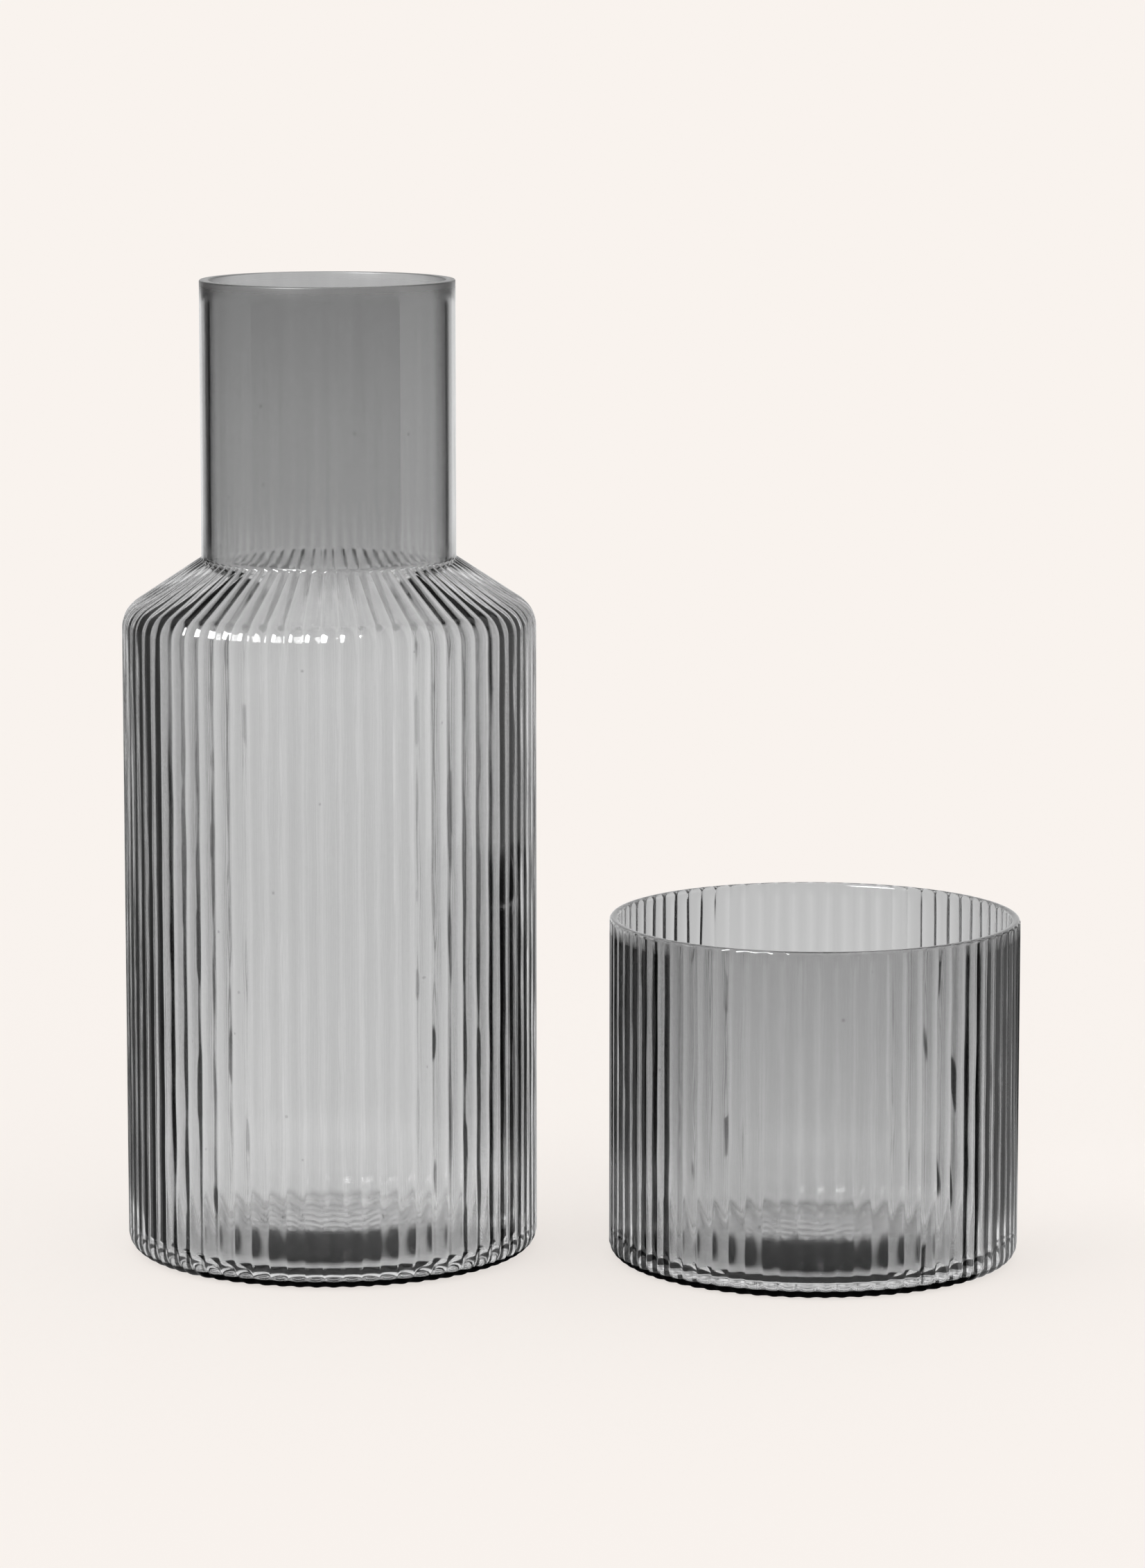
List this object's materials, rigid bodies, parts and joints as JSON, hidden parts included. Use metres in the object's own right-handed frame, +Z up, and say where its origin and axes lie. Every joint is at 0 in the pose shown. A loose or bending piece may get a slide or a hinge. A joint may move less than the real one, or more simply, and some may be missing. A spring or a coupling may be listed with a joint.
{
  "type": "bedside carafe with tumbler",
  "caption": "Ribbed smoke-grey glass bedside carafe with a smooth straight neck, and the ribbed tumbler that turns over the neck as its lid, standing beside it.",
  "frame": {"origin": "on the surface that both pieces stand on, midway between them, at the centre of the set's box", "axes": "+Z up; +X from the carafe towards the tumbler; +Y away from the viewer, so the tumbler stands a little in front, at lower Y"},
  "size_m": [0.178, 0.0897, 0.194],
  "materials": {
    "carafe_glass": "smoke-grey blown glass, polished, ribbed outside and smooth inside",
    "tumbler_glass": "smoke-grey pressed glass, polished, ribbed outside and smooth inside"
  },
  "bodies": {
    "carafe": {"carafe": "carafe_glass"},
    "tumbler": {"tumbler": "tumbler_glass"}
  },
  "joints": [
    {"name": "tumbler_lift", "type": "slide", "parent": "carafe", "child": "tumbler", "axis": [0, 0, 1], "range_m": [0, 0.21]}
  ]
}
